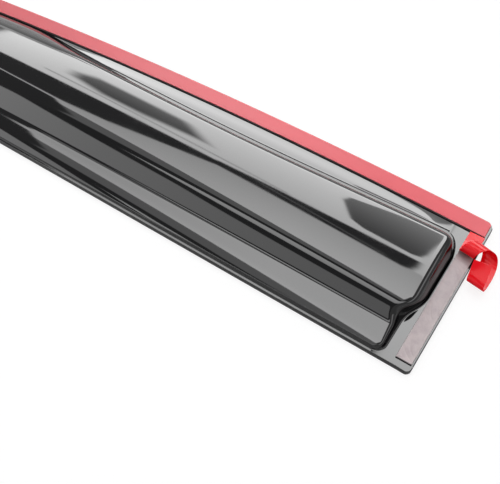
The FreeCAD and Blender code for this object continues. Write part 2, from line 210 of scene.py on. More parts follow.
@dataclass(frozen=True)
class ShellForm:
    """Sizes and height functions of the moulded shell, in millimetres."""

    length: float = 760.0
    square_end_height: float = 97.1
    slim_end_height: float = 24.6
    roof_arc_apex: float = 116.5
    sheet: float = 3.0
    shoulder_offset: float = 16.0
    shoulder_waist: float = 4.5
    waist_middle: float = 135.0
    waist_reach: float = 125.0
    shoulder_spread: float = 5.0
    spread_start: float = 245.0
    spread_full: float = 305.0
    spread_fade: float = 480.0
    spread_end: float = 620.0
    lip_width: float = 1.5
    upper_end_offset: float = 9.9
    lower_end_offset: float = 14.9
    nose_offset: float = 20.0
    hollow_nose_offset: float = 78.0
    step_in_start: float = 41.5
    step_in_end: float = 20.0
    step_in_start_lean: float = 0.95
    step_in_end_lean: float = 0.6
    upper_corner_reach: float = 18.0
    upper_corner_run: float = 9.5
    lower_corner_run: float = 5.5
    shoulder_slope: float = 46.0
    lower_wall_slope: float = 76.0
    upper_end_slope: float = 78.0
    lower_end_slope: float = 60.0
    nose_slope: float = 14.0
    crown_height: float = 13.0
    step_top_height: float = 9.3
    lower_tier_height: float = 4.0
    lower_tier_width: float = 15.0
    lower_tier_fall: float = 0.12
    step_run: float = 6.7
    step_spread: float = 0.025
    crown_radius: float = 150.0
    narrowing_power: float = 0.8
    step_foot_blend: float = 0.6
    step_top_blend: float = 1.6
    wall_top_blend: float = 1.3
    lower_wall_blend: float = 2.6
    lower_wall_reach: float = 12.0
    foot_blend: float = 0.7
    shoulder_top_blend: float = 2.2
    spread_top_blend: float = 10.0
    strip_rise: float = 0.5
    far_strip_rise: float = 0.41
    lip_fall: float = 0.1
    tape_inset: float = 10.2
    strip_width: float = 6.0
    strip_start: float = 12.0
    strip_full: float = 40.0
    far_strip_start: float = 90.0
    far_strip_full: float = 140.0
    corner_limit: float = 0.985
    corner_scales: Pair = (0.15, 2.0)
    corner_closing_height: float = 16.25
    least_share: float = 0.02
    least_gap: float = 0.05
    slope_step: float = 0.05
    level_range: Pair = (-30.0, 40.0)
    halvings: int = 34
    newton_steps: int = 6

    def roof_y(self, x: Array, inset: Any = 0.0) -> Array:
        """Upper edge at x, moved inwards by inset: an arc over both ends of the part.

        The centre is where the distances to both ends of the roof edge are equal.
        """
        slim_run = self.length - self.roof_arc_apex
        drop = self.square_end_height - self.slim_end_height
        squares = (self.square_end_height ** 2 - self.slim_end_height ** 2
                   + self.roof_arc_apex ** 2 - slim_run ** 2)
        centre = squares / (2.0 * drop)
        radius = math.hypot(self.roof_arc_apex, self.square_end_height - centre)
        return centre + np.sqrt((radius - inset) ** 2 - (x + self.roof_arc_apex) ** 2)

    def slimness(self, x: Array) -> tuple[Array, Array]:
        """Share of the full body width left at x, and that share to the narrowing power."""
        full = self.roof_y(-self.roof_arc_apex, self.shoulder_offset) - self.lip_width
        share = (self.roof_y(x, self.shoulder_offset) - self.lip_width) / full
        share = np.maximum(share, self.least_share)
        return share, share ** self.narrowing_power

    def spread(self, x: Array) -> Array:
        """How far the shoulder spreads over the flange: an eased rise and an eased fall."""
        rise = smooth(-x, self.spread_start, self.spread_full)
        fall = smooth(-x, self.spread_end, self.spread_fade)
        return self.shoulder_spread * rise * fall

    def shoulder_foot(self, x: Array, level: Any = 0.0, inset: float = 0.0) -> Array:
        """Y of the shoulder at a level over the flange, drawn in at the body's waist.

        The waist is its full depth times the power 1.5 of one less the square of the
        distance from its middle, over its reach.
        """
        part = np.minimum(np.abs(x + self.waist_middle) / self.waist_reach, 1.0)
        waist = self.shoulder_waist * (1.0 - part ** 2) ** 1.5
        shift = wall_shift(self.shoulder_slope, level, inset)
        return self.roof_y(x, self.shoulder_offset + waist - self.spread(x) + shift)

    def step_lines(self, x: Array) -> tuple[Array, Array]:
        """Y of the foot and of the top of the step between the tiers."""
        share, _ = self.slimness(x)
        foot = self.lip_width + self.lower_tier_width * share
        return foot, foot + (self.step_run + self.step_spread * np.maximum(-x, 0.0)) * share

    def tier_height(self, x: Array, y: Array) -> Array:
        """Height of the two tiers over the flange.

        A nearly level lower tier, a straight step and a crowned upper tier, which is a
        circle whose top lies where its rise from the step's top is used up. The three are
        joined by rounded crossings.
        """
        _, scale = self.slimness(x)
        foot_y, top_y = self.step_lines(x)
        foot_z = self.lower_tier_height * scale
        top_z = self.step_top_height * scale
        crown_z = self.crown_height * scale
        radius = self.crown_radius / scale
        crown_y = top_y + np.sqrt(radius ** 2 - (radius - (crown_z - top_z)) ** 2)
        lower = foot_z - self.lower_tier_fall * (foot_y - y)
        slope = foot_z + (y - foot_y) * (top_z - foot_z) / (top_y - foot_y)
        across = np.clip(y - crown_y, -radius * 0.9, radius * 0.9)
        crown = crown_z - radius + np.sqrt(radius ** 2 - across ** 2)
        rise = higher(lower, slope, self.step_foot_blend)
        return softer(crown, rise, self.step_top_blend)

    def end_x(self, y: Array, level: Array, inset: float) -> Array:
        """X of the square end's wall at a height: an S-curve that turns into both sides.

        The S-curve is a cubic whose share across is 3t^2 - 2t^3 and whose share along is
        1.5t - 1.5t^2 + t^3; t is found from the share along by Newton's steps. Each corner
        is a quarter of an ellipse, which draws the wall in by run * (1 - sqrt(1 - u^2)),
        where u is the share of the corner's reach that is used up.
        """
        upper = -self.upper_end_offset - wall_shift(self.upper_end_slope, level, inset)
        lower = -self.lower_end_offset - wall_shift(self.lower_end_slope, level, inset)
        start = self.step_in_start - self.step_in_start_lean * level
        end = self.step_in_end - self.step_in_end_lean * level
        along = np.clip((y - end) / (start - end), 0.0, 1.0)
        t = along
        for _ in range(self.newton_steps):
            t = t - (1.5 * t - 1.5 * t ** 2 + t ** 3 - along) / (1.5 - 3.0 * t + 3.0 * t ** 2)
        straight = between(lower, upper, smooth(t))
        scale = np.clip(1.0 - level / self.corner_closing_height, *self.corner_scales)
        roof_gap = self.shoulder_foot(straight, level, inset) - y
        lip_gap = y - self.lip_foot(level, inset)
        turned = 0.0
        for gap, reach, run in ((roof_gap, self.upper_corner_reach, self.upper_corner_run),
                                (lip_gap, self.lower_corner_run, self.lower_corner_run)):
            used = np.clip(1.0 - gap / (reach * scale), 0.0, self.corner_limit)
            turned = turned + run * scale * quarter_round(used)
        return straight - turned

    def lip_foot(self, level: Array, inset: float = 0.0) -> Array:
        """Y of the lower wall at a height."""
        return self.lip_width + wall_shift(self.lower_wall_slope, level, inset)

    def inside_walls(self, x: Array, y: Array, level: Array, inset: float) -> Array:
        """Positive where a point at a height lies inside the shoulder, lower wall and nose.

        The nose's corners are quarters of ellipses: one less the length of the vector of
        the two distances from the walls, each taken from its reach and divided by it.
        """
        roof_gap = self.shoulder_foot(x, level, inset) - y
        lip_gap = y - self.lip_foot(level, inset)
        nose_at = self.nose_offset if inset == 0.0 else self.hollow_nose_offset
        nose_gap = x + self.length - nose_at - wall_shift(self.nose_slope, level, inset)
        half = np.maximum((roof_gap + lip_gap) / 2.0, self.least_gap)
        nose = np.maximum(1.0 - nose_gap / half, 0.0)
        corners = [1.0 - np.hypot(np.maximum(1.0 - gap / half, 0.0), nose) for gap in (roof_gap, lip_gap)]
        return np.minimum.reduce([*corners, roof_gap, lip_gap])

    def side_level(self, x: Array, y: Array, inset: float) -> Array:
        """Height at which a point lies on those walls, found by halving an interval."""
        low, high = (np.full(x.shape, end) for end in self.level_range)
        for _ in range(self.halvings):
            middle = (low + high) / 2.0
            inside = self.inside_walls(x, y, middle, inset) >= 0.0
            low = np.where(inside, middle, low)
            high = np.where(inside, high, middle)
        return (low + high) / 2.0

    def face_height(self, x: Array, y: Array, inset: float) -> Array:
        """Height of a face over the flange's top, without the square end's wall.

        The inset is 0 for the outer face and one sheet for the hollow's face. Wall tops
        and feet are rounded.
        """
        step = self.slope_step
        rise = (self.tier_height(x, y + step) - self.tier_height(x, y - step)) / (2.0 * step)
        tiers = self.tier_height(x, y) - inset * np.hypot(1.0, rise)
        blend = between(self.lower_wall_blend, self.wall_top_blend, smooth(y, 0.0, self.lower_wall_reach))
        if inset > 0.0:
            hollow = softer(tiers, self.side_level(x, y, inset), blend)
            return higher(hollow, np.full_like(hollow, -inset), self.foot_blend)
        spread = self.spread(x) / self.shoulder_spread
        shoulder = between(self.shoulder_top_blend, self.spread_top_blend, spread)
        blend = between(blend, shoulder, self.upper_part(x, y))
        body = softer(tiers, self.side_level(x, y, inset), blend)
        face = higher(body, self.strip_level(x, y), self.foot_blend)
        return face - self.lip_fall * np.maximum(self.lip_width - y, 0.0)

    def upper_part(self, x: Array, y: Array) -> Array:
        """Eased share that is 0 up to half of the width and 1 from three quarters of it."""
        return smooth(y / self.roof_y(x), 0.5, 0.75)

    def strip_level(self, x: Array, y: Array) -> Array:
        """Height of the strip beside the shoulder, which rises away from the roof tape.

        The rise goes with the square of the distance from the tape. It starts some way
        from the square end, and is a little lower further on.
        """
        free = np.clip(self.roof_y(x) - y - self.tape_inset, 0.0, self.strip_width) / self.strip_width
        start = smooth(-x, self.strip_start, self.strip_full)
        further = smooth(-x, self.far_strip_start, self.far_strip_full)
        rise = between(self.strip_rise, self.far_strip_rise, further)
        return rise * free ** 2 * self.upper_part(x, y) * start


def closed_skin(top: Array, under: Array) -> tuple[Array, Array]:
    """Join an upper and a lower grid along their rims.

    Args:
        top: Rows x columns x 3 points; rows run along X and columns along Y.
        under: Grid of the same size, below it.

    Returns:
        Vertices and quads. The quads of the two grids turn opposite ways, and a strip of
        quads runs round the rim.
    """
    rows, columns = top.shape[:2]
    index = np.arange(rows * columns).reshape(rows, columns)
    a, b = index[:-1, :-1], index[1:, :-1]
    c, d = index[1:, 1:], index[:-1, 1:]
    upper = np.stack([a, b, c, d], axis=-1).reshape(-1, 4)
    lower = np.stack([a, d, c, b], axis=-1).reshape(-1, 4) + rows * columns
    rim = np.concatenate([index[:-1, 0], index[-1, :-1], index[:0:-1, -1], index[0, :0:-1]])
    follow = np.roll(rim, -1)
    strip = np.stack([rim, rim + rows * columns, follow + rows * columns, follow], axis=-1)
    points = np.concatenate([top.reshape(-1, 3), under.reshape(-1, 3)])
    return points, np.concatenate([upper, lower, strip])


def add_piece(piece: Piece, points: Array, quads: Array, place: DrawingFrame, finish: Material) -> Object:
    """Make a smooth mesh object, hang it under the root body and hide the imported node that it stands
    for.

    Args:
        piece: Which piece it is.
        points: Vertices in millimetres of the drawing.
        quads: Four vertex numbers for each face.
        place: Where the drawing lies in the part.
        finish: The piece's material.

    Returns:
        The new object.
    """
    name, node, slot = piece.value
    mesh = bpy.data.meshes.new(name)
    mesh.from_pydata(place.metres(points).tolist(), [], quads.tolist())
    mesh.polygons.foreach_set("use_smooth", np.ones(len(quads), dtype=bool))
    mesh.materials.append(finish)
    mesh.update()
    made = bpy.data.objects.new(name, mesh)
    bpy.context.scene.collection.objects.link(made)
    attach(made, "root")
    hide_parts(node)
    LOG.info("%s: %d faces", name, len(quads))
    return made


def new_material(name: str) -> tuple[Material, NodeTree, Node]:
    """Make a material, and return it with its node tree and its main shader."""
    made = bpy.data.materials.new(name)
    made.use_nodes = True
    return made, made.node_tree, made.node_tree.nodes["Principled BSDF"]


def noise(tree: NodeTree, scale: float, detail: float, roughness: float = 0.5) -> NodeSocket:
    """Noise around a half that stays with the object; its scale is in features to the metre."""
    place = add_node(tree, "TexCoord")
    made = add_node(tree, "TexNoise", {
        "Vector": place.outputs["Object"], "Scale": scale, "Detail": detail, "Roughness": roughness})
    return made.outputs["Fac"]


def ranged(tree: NodeTree, value: NodeSocket, low: float, high: float,
           start: float = 0.0, end: float = 1.0, way: str = "LINEAR") -> NodeSocket:
    """Run from start to end while a value runs from low to high, and hold outside."""
    span = {"Value": value, "From Min": low, "From Max": high, "To Min": start, "To Max": end}
    return add_node(tree, "MapRange", span, interpolation_type=way).outputs["Result"]


def blended(tree: NodeTree, share: NodeSocket, first: Any, second: Any) -> NodeSocket:
    """Blend of two colours, each a linear colour or a socket, the second by the share."""
    made = add_node(tree, "Mix", {"Factor": share, "A": first, "B": second}, data_type="RGBA")
    return made.outputs["Result"]


def embossed(tree: NodeTree, height: NodeSocket, distance_mm: float, strength: float) -> NodeSocket:
    """Normal of a face whose height from 0 to 1 rises by a distance in millimetres."""
    bump = add_node(tree, "Bump", {
        "Height": height, "Distance": distance_mm * 0.001, "Strength": strength})
    return bump.outputs["Normal"]


@dataclass(frozen=True)
class SmokedAcrylic:
    """Extruded smoked acrylic, vacuum formed: near black with a mirror-like gloss.

    The forming leaves slow waves a few millimetres long, which make the edges of a
    reflection wander a little. A faint haze comes and goes over the face.
    """

    colour: str = "#0b0b0d"
    roughness: float = 0.03
    haze: float = 0.03
    ior: float = 1.49
    wave_mm: float = 14.0
    wave_height_mm: float = 0.004

    def material(self) -> Material:
        """Build the material."""
        made, tree, shader = new_material("smoked_acrylic_vacuum_formed")
        dullest = self.roughness + self.haze
        hazy = ranged(tree, noise(tree, 45.0, 4.0), 0.35, 0.75, self.roughness, dullest)
        waves = embossed(tree, noise(tree, 1000.0 / self.wave_mm, 1.5), self.wave_height_mm, 1.0)
        feed(tree, shader, {"Base Color": linear(self.colour), "IOR": self.ior, "Roughness": hazy,
                            "Normal": waves})
        return made


@dataclass(frozen=True)
class LinerFilm:
    """Polyethylene release film: saturated red, smooth, with a soft satin shine."""

    name: str
    colour: str = "#bc2434"
    dull_colour: str = "#ae1d2c"
    roughness: float = 0.36
    shine: float = 0.36
    ripple_mm: float = 0.03

    def material(self) -> Material:
        """Build the material."""
        made, tree, shader = new_material(self.name)
        tint = blended(tree, noise(tree, 55.0, 3.0), linear(self.dull_colour), linear(self.colour))
        ripple = embossed(tree, noise(tree, 260.0, 2.0), self.ripple_mm, 0.6)
        feed(tree, shader, {"Base Color": tint, "Roughness": self.roughness,
                            "Specular IOR Level": self.shine, "Normal": ripple})
        return made


@dataclass(frozen=True)
class AdhesiveFoam:
    """Acrylic foam tape: a tacky pinkish grey face on grey foam.

    The face is mottled where the liner pulled at it. The cut sides take a darker grey, partly the foam's
    own and partly painted shade along the tape's edges.
    """

    name: str
    face: str = "#b3a7a8"
    stain: str = "#a4989a"
    # Grey of the cut sides: the foam's own grey, darkened as painted shade along the edges.
    foam_and_edge_shade: str = "#6f686a"
    roughness: float = 0.32
    shine: float = 0.25
    grain_mm: float = 0.03

    def material(self) -> Material:
        """Build the material."""
        made, tree, shader = new_material(self.name)
        mottle = ranged(tree, noise(tree, 170.0, 5.0, 0.6), 0.42, 0.66)
        face = blended(tree, mottle, linear(self.face), linear(self.stain))
        place = add_node(tree, "TexCoord")
        way = add_node(tree, "SeparateXYZ", {0: place.outputs["Normal"]})
        # Faces turning away from up take the darker grey: partly the foam's own, partly painted shade
        # along the cut edges.
        upward = ranged(tree, way.outputs["Z"], 0.45, 0.8)
        colour = blended(tree, upward, linear(self.foam_and_edge_shade), face)
        grain = embossed(tree, noise(tree, 900.0, 3.0), self.grain_mm, 0.5)
        feed(tree, shader, {"Base Color": colour, "Roughness": self.roughness,
                            "Specular IOR Level": self.shine, "Normal": grain})
        return made


def lengths_along(points: Array) -> tuple[Array, Array]:
    """Length of every step between points, and the length up to each point."""
    step = np.maximum(np.linalg.norm(np.diff(points, axis=0), axis=1), 1e-6)
    return step, np.concatenate([[0.0], np.cumsum(step)])


def rounded_profile(points: Array, reach: Array) -> Array:
    """Round the corners of a profile by the mean over a short window around each point.

    The window runs from one reach before to one reach after the point, along the profile.
    The mean is the difference of the profile's running integral at the window's two ends,
    over the window's length.

    Args:
        points: Points of the profile, in order.
        reach: Half the window's length at each point; it is cut where the profile ends.

    Returns:
        The rounded points.
    """
    step, along = lengths_along(points)
    total = np.cumsum((points[:-1] + points[1:]) / 2.0 * step[:, None], axis=0)
    total = np.concatenate([np.zeros((1, 3)), total])
    slope = np.diff(points, axis=0) / step[:, None]
    reach = np.minimum(reach, np.minimum(along, along[-1] - along))

    def integral(at: Array) -> Array:
        """Running integral of the profile up to each place."""
        k = np.clip(np.searchsorted(along, at) - 1, 0, len(step) - 1)
        into = (at - along[k])[:, None]
        return total[k] + points[k] * into + slope[k] * into ** 2 / 2.0

    wide = np.maximum(reach, 0.01)[:, None]
    mean = (integral(along + wide[:, 0]) - integral(along - wide[:, 0])) / (2.0 * wide)
    return np.where(reach[:, None] > 0.01, mean, points)


@dataclass
class MouldedShell:
    """The shell's two faces, drawn as profiles along X that follow the end wall.

    Every row starts on the flange at the square end, climbs the end wall and runs along
    the body to the slim end.
    """

    form: ShellForm
    place: DrawingFrame
    corner_radii: tuple[float, float, float, float] = (2.5, 3.0, 9.0, 5.0)
    edge_radius: float = 0.4
    end_start: float = 12.0
    end_fade: float = 60.0
    end_foot_round: float = 0.9
    end_top_round: float = 4.0
    wall_run: float = 0.3
    foot_share: float = 0.3
    top_share: float = 0.42
    deck_share: float = 0.3
    rim_rows: int = 6
    settling: int = 6

    def row_shares(self) -> tuple[Array, Array]:
        """Section line that each row starts from, and its share of the way to the next."""
        shares = (
            stretches((0.34, 5), (0.8, 3), (1.0, 3)),
            stretches((1.0, 10)),
            stretches((0.045, 6), (0.9, 14), (1.0, 4)),
            stretches((0.15, 4), (0.8, 8), (1.0, 4)),
            stretches((0.06, 9), (0.5, 24), (0.96, 26), (1.0, 7)),
            stretches((0.12, 7), (0.9, 14), (1.0, 6)),
            stretches((0.06, 4), (0.968, 8), (1.0, 5)),
        )
        starts = [np.full(len(part) - 1, k) for k, part in enumerate(shares)]
        parts = [part[:-1] for part in shares]
        return np.concatenate(starts + [[len(shares) - 1]]).astype(int), np.concatenate(parts + [[1.0]])

    def row_y(self, x: Array) -> Array:
        """Y of every row at the x of each point.

        The section's lines are the lower edge, the lower wall's foot and top, the step's
        foot and top, the shoulder's top and foot, and the roof edge.

        Args:
            x: Stations x rows.

        Returns:
            Y of the same shape.
        """
        form = self.form
        _, scale = form.slimness(x)
        foot_y, top_y = form.step_lines(x)
        shoulder = form.shoulder_foot(x)
        wall_top = form.lip_foot(form.lower_tier_height * scale)
        deck_end = form.shoulder_foot(x, form.crown_height * scale)
        deck_end = np.maximum(deck_end, top_y + self.deck_share * (shoulder - top_y))
        lines = np.stack([np.zeros_like(x), np.full_like(x, form.lip_width), wall_top, foot_y, top_y,
                          deck_end, shoulder, form.roof_y(x)])
        start, part = self.row_shares()
        row = np.arange(x.shape[1])
        return between(lines[start, :, row].T, lines[start + 1, :, row].T, part)

    def face(self, inset: float) -> Array:
        """Points of one face, with the flange's top at height 0.

        Args:
            inset: 0 for the outer face, one sheet for the hollow's face.

        Returns:
            Stations x rows x 3 points. The end wall's top and foot are rounded along
            every row.
        """
        form = self.form
        rows = len(self.row_shares()[1])
        top_x = np.full((1, rows), -self.end_start)
        for _ in range(self.settling):
            y = self.row_y(top_x)
            level = form.face_height(top_x, y, inset)
            top_x = form.end_x(y, level, inset)
        share = stretches((0.3, 8), (0.7, 6), (1.0, 10))[:, None]
        wall_z = -inset + (level + inset) * share
        wall_x = np.repeat(top_x, len(share), axis=0)
        for _ in range(self.settling):
            wall_x = form.end_x(self.row_y(wall_x), wall_z, inset) - self.wall_run * share
        flange = stretches((0.05, 5), (0.76, 7), (1.0, 12))[:-1, None]
        flange_x = wall_x[:1] * flange
        deck = stretches((8.6, 28), (16.0, 7), (34.0, 13), (100.0, 21), (690.0, 84), (747.5, 36),
                         (form.length - self.end_start, 5))[1:, None]
        fade = 1.0 - smooth(deck, 0.0, self.end_fade)
        deck_x = -self.end_start - deck + (wall_x[-1:] + self.end_start) * fade
        x = np.concatenate([flange_x, wall_x, deck_x])
        y = self.row_y(x)
        body_z = form.face_height(deck_x, y[-len(deck):], inset)
        z = np.concatenate([np.full_like(flange_x, -inset), wall_z, body_z])
        points = np.stack([x, y, z], axis=-1)
        foot = len(flange)
        return self.round_rows(points, foot, foot + len(share) - 1)

    def round_rows(self, points: Array, foot: int, top: int) -> Array:
        """Round the end wall's foot and top in every row.

        A corner's window keeps its full reach up to one reach away and fades over the
        next. The reach is held to a share of the wall's own length, so low walls keep
        their form.
        """
        rounded = points.copy()
        for row in range(points.shape[1]):
            profile = points[:, row]
            _, along = lengths_along(profile)
            wall = along[top] - along[foot]
            foot_reach = min(self.end_foot_round, self.foot_share * wall)
            top_reach = min(self.end_top_round, self.top_share * wall)
            near_foot = np.clip(2.0 - np.abs(along - along[foot]) / foot_reach, 0.0, 1.0)
            near_top = np.clip(2.0 - np.abs(along - along[top]) / top_reach, 0.0, 1.0)
            reach = np.maximum(foot_reach * near_foot, top_reach * near_top)
            rounded[:, row] = rounded_profile(profile, reach)
        return rounded

    def round_corners(self, x: Array, y: Array) -> Array:
        """Draw the outline in at its four corners, fading inwards over twice the radius."""
        form = self.form
        x = x.copy()
        roof = form.roof_y(x)
        for right, upper, radius in zip((True, True, False, False), (False, True, True, False),
                                        self.corner_radii):
            gap = roof - y if upper else y
            side = -x if right else x + form.length
            pull = corner_pull(gap, side, radius)
            x = x - pull if right else x + pull
        return x

    def rim_drop(self, x: Array, y: Array) -> Array:
        """How far the rounded edge falls: radius less the root of radius and gap squares."""
        gap = np.full(x.shape, np.inf)
        every = slice(None)
        for k in range(self.rim_rows):
            for near, rim in (((k, every), (0, every)), ((-1 - k, every), (-1, every)),
                              ((every, k), (every, 0)), ((every, -1 - k), (every, -1))):
                gap[near] = np.minimum(gap[near], np.hypot(x[near] - x[rim], y[near] - y[rim]))
        return self.edge_radius * quarter_round(nearness(gap, self.edge_radius))

    def build(self, finish: Material) -> Object:
        """Make the shell."""
        faces = []
        for inset, side in ((0.0, -1.0), (self.form.sheet, 1.0)):
            points = self.face(inset)
            points[..., 0] = self.round_corners(points[..., 0], points[..., 1])
            drop = self.rim_drop(points[..., 0], points[..., 1])
            points[..., 2] = self.form.sheet + points[..., 2] + side * drop
            faces.append(points[::-1])
        points, quads = closed_skin(*faces)
        return add_piece(Piece.SHELL, points, quads, self.place, finish)


def natural_spline(knots: Array, values: Array, at: Array) -> Array:
    """Cubic spline through values with straight ends.

    The second derivatives solve the usual three-term equations, and each span is a cubic
    of the distances to its two knots.

    Args:
        knots: Positions of the values.
        values: Rows of values, one for each knot.
        at: Positions wanted.

    Returns:
        Rows of interpolated values.
    """
    count = len(knots)
    gap = np.diff(knots)
    matrix = np.eye(count)
    right = np.zeros_like(values)
    inner = np.arange(1, count - 1)
    matrix[inner, inner - 1] = gap[:-1]
    matrix[inner, inner] = 2.0 * (gap[:-1] + gap[1:])
    matrix[inner, inner + 1] = gap[1:]
    slope = np.diff(values, axis=0) / gap[:, None]
    right[1:-1] = 6.0 * np.diff(slope, axis=0)
    bend = np.linalg.solve(matrix, right)
    span = np.clip(np.searchsorted(knots, at) - 1, 0, count - 2)
    h = gap[span][:, None]
    a = (knots[span + 1] - at)[:, None]
    b = (at - knots[span])[:, None]
    cubic = (bend[span] * a ** 3 + bend[span + 1] * b ** 3) / (6.0 * h)
    line = (values[span] / h - bend[span] * h / 6.0) * a
    return cubic + line + (values[span + 1] / h - bend[span + 1] * h / 6.0) * b


@dataclass
class AdhesiveStrips:
    """The two tapes and their liners, drawn on the flange."""

    form: ShellForm
    place: DrawingFrame
    tape_thickness: float = 1.0
    film: float = 0.15
    roof_width: float = 10.0
    roof_edge_gap: float = 0.2
    roof_end_gap: float = 1.4
    roof_tip_gap: float = 14.0
    roof_corner_radius: float = 2.4
    end_width: float = 7.9
    end_edge_gap: float = 1.0
    end_foot_gap: float = 4.1
    spacing: float = 0.9
    held_length: float = 4.8
    edge_reach: float = 0.2
    film_edge_fall: float = 0.05
    film_settling: float = 0.016
    film_wave: float = 0.015
    tape_edge_fall: float = 0.12
    face_fall: float = 0.05
    face_ripple: float = 0.03
    face_crease: float = 0.07
    face_fade: float = 1.2
    bare_fade: float = 6.0
    curl: tuple[tuple[Point, Point], ...] = (
        ((-8.9, -1.5, 0.15), (-1.0, -1.5, 0.15)),
        ((-8.9, -3.4, 0.38), (-1.0, -3.6, 0.38)),
        ((-8.9, -6.8, 0.8), (-1.0, -7.6, 0.8)),
        ((-8.9, -9.7, 1.6), (-0.9, -10.8, 1.6)),
        ((-8.6, -10.8, 3.2), (-0.7, -11.8, 3.4)),
        ((-8.1, -9.9, 5.1), (-0.1, -11.1, 5.4)),
        ((-7.0, -7.4, 6.4), (1.2, -9.4, 6.9)),
        ((-5.0, -4.6, 6.4), (3.4, -6.8, 7.0)),
        ((-2.6, -2.6, 4.9), (5.9, -5.0, 5.4)),
        ((-0.2, -2.4, 2.6), (8.3, -4.6, 3.0)),
        ((1.6, -4.8, 0.0), (10.2, -6.6, 0.2)),
        ((2.5, -10.0, -1.6), (11.2, -11.6, -1.4)),
        ((2.4, -17.0, -1.9), (11.2, -18.6, -1.7)),
        ((1.9, -22.2, -1.1), (10.6, -23.8, -0.9)),
        ((1.2, -23.8, 1.4), (10.0, -25.0, 1.6)),
        ((0.5, -20.6, 4.6), (9.3, -20.6, 4.6)),
        ((-0.2, -15.8, 7.8), (8.5, -14.6, 7.8)),
    )

    @property
    def adhesive_z(self) -> float:
        """Height of the tapes' upper faces."""
        return self.form.sheet + self.tape_thickness

    @property
    def end_top(self) -> float:
        """Y where the end tape stops below the roof tape."""
        x = -self.end_edge_gap - self.end_width
        return float(self.form.roof_y(x, self.roof_edge_gap + self.roof_width)) - self.spacing

    def edge_gap(self, t: Array, width: float, s: Array, length: float) -> Array:
        """Distance from the nearest side of a strip, at t across it and s along it."""
        return np.minimum(np.minimum(t, width - t), np.minimum(s, length - s))

    def add_strip(self, piece: Piece, grids: Sequence[Array], bottom: float, finish: Material) -> Object:
        """Make a thin strip that lies flat, from grids of X, Y and top Z.

        X rises along the grids' first axis.
        """
        x, y, top = grids
        lower = np.stack([x, y, np.full_like(top, bottom)], axis=-1)
        points, quads = closed_skin(np.stack([x, y, top], axis=-1), lower)
        return add_piece(piece, points, quads, self.place, finish)

    def build_roof_liner(self, finish: Material) -> Object:
        """The film on the roof tape: the strip between two arcs, with one rounded corner.

        Its face waves by a few hundredths of a millimetre, so its shine isn't even. Soft
        edges fall with the square of their nearness, here and on the end tape.
        """
        length = self.form.length - self.roof_end_gap - self.roof_tip_gap
        s = stretches((3.0, 12), (60.0, 60), (length - 0.6, 340), (length, 3))
        t = stretches((0.03, 3), (0.7, 8), (0.97, 8), (1.0, 3))
        s, t = np.meshgrid(s[::-1], t, indexing="ij")
        upper_gap = self.roof_width * (1.0 - t)
        x = -self.roof_end_gap - s
        y = self.form.roof_y(x, self.roof_edge_gap + upper_gap)
        x = x - corner_pull(upper_gap, s, self.roof_corner_radius)
        middle = np.sin(np.pi * np.clip(t, 0.0, 1.0)) ** 0.5
        wave = np.sin(x / 9.0 + 1.3 * np.sin(x / 31.0)) * np.sin(4.0 * t + x / 17.0) * middle
        rim = self.edge_gap(t * self.roof_width, self.roof_width, s, length)
        soft = self.film_edge_fall * nearness(rim, self.edge_reach) ** 2
        top = self.adhesive_z + self.film - self.film_settling + self.film_wave * wave - soft
        return self.add_strip(Piece.ROOF_LINER, (x, y, top), self.adhesive_z, finish)

    def build_end_adhesive(self, finish: Material) -> Object:
        """The end tape: its face is faintly wrinkled and its sides stand upright.

        The wrinkles are a slow ripple and narrow creases. They fade out towards the rim
        and under the liner's held part.
        """
        length = self.end_top - self.end_foot_gap
        width = self.end_width
        edge = self.edge_reach
        s = stretches((edge, 3), (length - edge, 240), (length, 3))
        t = stretches((edge, 3), (width - edge, 26), (width, 3))
        t, s = np.meshgrid(t, s, indexing="ij")
        x = -self.end_edge_gap - width + t
        y = self.end_foot_gap + s
        rim = self.edge_gap(t, width, s, length)
        inside = np.clip(rim / self.face_fade, 0.0, 1.0)
        held_y = self.end_top - self.held_length
        bare = smooth(held_y - y, self.bare_fade, 2.0 * self.bare_fade)
        crease = (np.abs(np.sin(0.9 * s + 1.7 * np.sin(0.31 * s) + 0.9 * t)) ** 14
                  * (0.5 + 0.5 * np.sin(0.23 * s + 1.0)))
        ripple = np.sin(0.55 * s + 0.8 * t) * np.sin(0.21 * s - 0.5 * t)
        fall = self.face_fall + self.face_ripple * ripple + self.face_crease * crease
        soft = self.tape_edge_fall * nearness(rim, edge) ** 2
        top = self.adhesive_z - (fall * inside + soft) * bare
        return self.add_strip(Piece.END_ADHESIVE, (x, y, top), self.form.sheet, finish)

    def build_end_liner(self, finish: Material) -> Object:
        """The peeled film: a flat held part, then a loop between two smooth rails.

        Each cross-section is a straight line between the rails, thickened along the cross
        product of the rails' heading and that line.
        """
        start = [[(-self.end_edge_gap - self.end_width, 0.0, self.film / 2.0),
                  (-self.end_edge_gap, 0.0, self.film / 2.0)]]
        rails = np.concatenate([start, self.curl])
        _, knots = lengths_along(rails.mean(axis=1))
        at = np.linspace(0.0, knots[-1], 320)
        rails = natural_spline(knots, rails.reshape(-1, 6), at).reshape(-1, 2, 3)
        held = np.linspace((0.0, self.held_length, 0.0), (0.0, 0.0, 0.0), 14, endpoint=False)
        rails = np.concatenate([rails[:1] + held[:, None], rails])
        rails = rails + [0.0, self.end_top - self.held_length, self.adhesive_z]
        left, right = rails[:, 0], rails[:, 1]
        across = right - left
        heading = np.gradient(left + right, axis=0)
        normal = np.cross(heading, across)
        normal = normal / np.linalg.norm(normal, axis=1, keepdims=True)
        t = stretches((0.03, 2), (0.97, 18), (1.0, 2))[None, :, None]
        sheet = left[:, None, :] + across[:, None, :] * t
        half = normal[:, None, :] * self.film / 2.0
        points, quads = closed_skin(sheet - half, sheet + half)
        return add_piece(Piece.END_LINER, points, quads, self.place, finish)

    def dress_roof_tape(self, finish: Material) -> None:
        """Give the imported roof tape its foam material."""
        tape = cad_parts["roof_foam_tape"]
        tape.data.materials.clear()
        tape.data.materials.append(finish)


